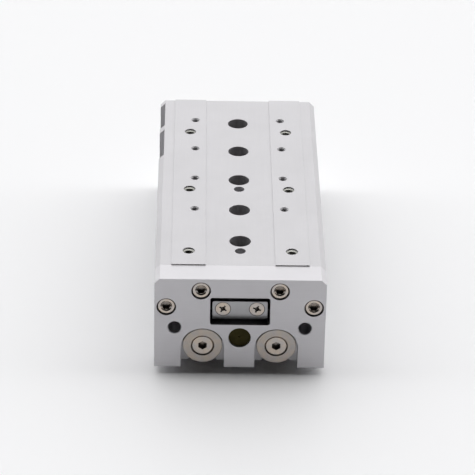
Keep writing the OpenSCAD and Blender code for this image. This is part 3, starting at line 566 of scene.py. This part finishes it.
def finish_edges():
    """Joins the faces of each CAD mesh and breaks the sharp edges of the main pieces."""
    group = smooth_by_angle(math.radians(SMOOTH_BELOW))
    for node, obj in nodes.items():
        mesh = obj.data
        if mesh.has_custom_normals:
            mesh.attributes.remove(mesh.attributes["custom_normal"])
        weld = obj.modifiers.new("join", "WELD")
        weld.merge_threshold = WELD_DISTANCE
        flat = obj.modifiers.new("flat", "DECIMATE")
        flat.decimate_type = "DISSOLVE"
        flat.angle_limit = math.radians(FLAT_BELOW)
        angle = obj.modifiers.new("angle", "NODES")
        angle.node_group = group
        if node in EDGE_WIDTHS:
            bevel = obj.modifiers.new("edge", "BEVEL")
            bevel.width = EDGE_WIDTHS[node] * MM
            bevel.segments = BEVEL_SEGMENTS
            bevel.limit_method = "ANGLE"
            bevel.angle_limit = math.radians(BEVEL_ABOVE)
            bevel.harden_normals = True
            bevel.use_clamp_overlap = False
            bevel.miter_outer = "MITER_ARC"


# ---------------------------------------------------------------- thread

# Millimetres
TAPPED_RADIUS = 2.1  # of the table's block-screw holes
THREAD_PITCH = 0.8
THREAD_START = 0.7  # from the face of the strips to the middle of the first turn
THREAD_PROFILE = [(0.05, 0.38), (-0.30, 0.06), (-0.30, -0.06), (0.05, -0.38)]  # from the wall

THREAD_STEPS = 40  # sides of a turn


def thread_turn(axis, height):
    """Points and faces of one turn of thread, as a ring on the wall of a hole."""
    points = []
    faces = []
    corners = len(THREAD_PROFILE)
    for step in range(THREAD_STEPS):
        angle = 2 * math.pi * step / THREAD_STEPS
        for out, lift in THREAD_PROFILE:
            radius = (TAPPED_RADIUS + out) * MM
            x = axis[0] + radius * math.cos(angle)
            y = axis[1] + radius * math.sin(angle)
            points.append((x, y, height + lift * MM))
        here = step * corners
        after = (step + 1) % THREAD_STEPS * corners
        for k in range(corners):
            beside = (k + 1) % corners
            faces.append((here + k, here + beside, after + beside, after + k))
    return points, faces


def add_threads():
    """Thread in the tapped holes of the table, from near the mouth to the screws below."""
    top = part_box("table")[1].z - THREAD_START * MM
    turns = math.floor((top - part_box("block_screws")[1].z) / (THREAD_PITCH * MM))
    points = []
    faces = []
    for axis in islands("block_screws"):
        for turn in range(turns):
            ring_points, ring_faces = thread_turn(axis, top - turn * THREAD_PITCH * MM)
            first = len(points)
            points += ring_points
            faces += [tuple(first + corner for corner in face) for face in ring_faces]
    obj = add_mesh("tapped_threads", points, faces, nodes["table"].material_slots[0].material)
    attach(obj, "carriage")


# ---------------------------------------------------------------- studio

FLOOR_SIZE = 6.0  # metres
FLOOR_COLOUR = (0.94, 0.94, 0.95, 1)

# Y of a direction, from the open front at -1 to the rear wall at 1, and the strength there
SKY = [
    (-0.12, 0.015), (0.0, 3.0), (0.1, 3.2), (0.2, 1.45),
    (0.55, 1.05), (0.75, 1.2), (0.9, 2.0), (1.0, 1.95),
]

# Strength added toward the right, from this X of a direction up to 1
SIDE_FILL = 0.2
SIDE_START = 0.3

# The camera that was fitted to the photograph: metres, degrees and millimetres
CAMERA_PLACE = (-0.02272, -1.11548, 0.66887)
CAMERA_PITCH = 30.10
CAMERA_YAW = 1.158
CAMERA_ROLL = 1.275
LENS = 196.2
SENSOR_WIDTH = 36
CLIP_RANGE = (0.05, 20)  # metres


def floor_material():
    """A plain pale floor that keeps the object's shadow."""
    g = Graph("floor")
    g.shader.inputs["Base Color"].default_value = FLOOR_COLOUR
    g.shader.inputs["Roughness"].default_value = 0.6
    g.shader.inputs["Specular IOR Level"].default_value = 0.3
    return g.material


def add_floor():
    """A square at the height of the object's base."""
    half = FLOOR_SIZE / 2
    z = cad_box[0][2]
    corners = [(-half, -half, z), (half, -half, z), (half, half, z), (-half, half, z)]
    obj = add_mesh("floor", corners, [(0, 1, 2, 3)], floor_material())


def add_world():
    """A tent with a dark, open front: brightest overhead, then the rear, a little at the right."""
    world = bpy.data.worlds.new("studio")
    bpy.context.scene.world = world
    world.use_nodes = True
    tree = world.node_tree
    back = tree.nodes["Background"]
    back.inputs["Color"].default_value = (1, 1, 1, 1)
    coords = tree.nodes.new("ShaderNodeTexCoord")
    split = tree.nodes.new("ShaderNodeSeparateXYZ")
    tree.links.new(coords.outputs["Generated"], split.inputs["Vector"])

    def ramp(axis, start, end, low_out, high_out):
        made = tree.nodes.new("ShaderNodeMapRange")
        tree.links.new(split.outputs[axis], made.inputs["Value"])
        made.inputs["From Min"].default_value = start
        made.inputs["From Max"].default_value = end
        made.inputs["To Min"].default_value = low_out
        made.inputs["To Max"].default_value = high_out
        return made.outputs["Result"]

    def add(a, b):
        made = tree.nodes.new("ShaderNodeMath")
        tree.links.new(a, made.inputs[0])
        tree.links.new(b, made.inputs[1])
        return made.outputs[0]

    darkest = SKY[0][1]
    strength = ramp("X", SIDE_START, 1.0, darkest, darkest + SIDE_FILL)
    for (start, low_out), (end, high_out) in zip(SKY, SKY[1:]):
        strength = add(strength, ramp("Y", start, end, 0, high_out - low_out))
    tree.links.new(strength, back.inputs["Strength"])


def add_camera():
    """A long lens in front of the end plate, a little to the left and 30 degrees up."""
    pitch, yaw, roll = (math.radians(a) for a in (CAMERA_PITCH, CAMERA_YAW, CAMERA_ROLL))
    level = Vector((math.sin(yaw), math.cos(yaw), 0))
    forward = level * math.cos(pitch) - Vector((0, 0, math.sin(pitch)))
    right = Vector((math.cos(yaw), -math.sin(yaw), 0))
    up = right.cross(forward)
    tilted_right = right * math.cos(roll) + up * math.sin(roll)
    tilted_up = up * math.cos(roll) - right * math.sin(roll)
    data = bpy.data.cameras.new("camera")
    data.lens = LENS
    data.sensor_width = SENSOR_WIDTH
    data.clip_start, data.clip_end = CLIP_RANGE
    obj = bpy.data.objects.new("camera", data)
    axes = Matrix((tilted_right, tilted_up, -forward)).transposed()
    obj.matrix_world = Matrix.Translation(Vector(CAMERA_PLACE)) @ axes.to_4x4()
    bpy.context.scene.collection.objects.link(obj)
    bpy.context.scene.camera = obj


def build_studio():
    bpy.context.scene.view_settings.view_transform = "Standard"
    add_floor()
    add_world()
    add_camera()


# ---------------------------------------------------------------- build

dress_nodes()
finish_edges()
add_threads()
build_studio()
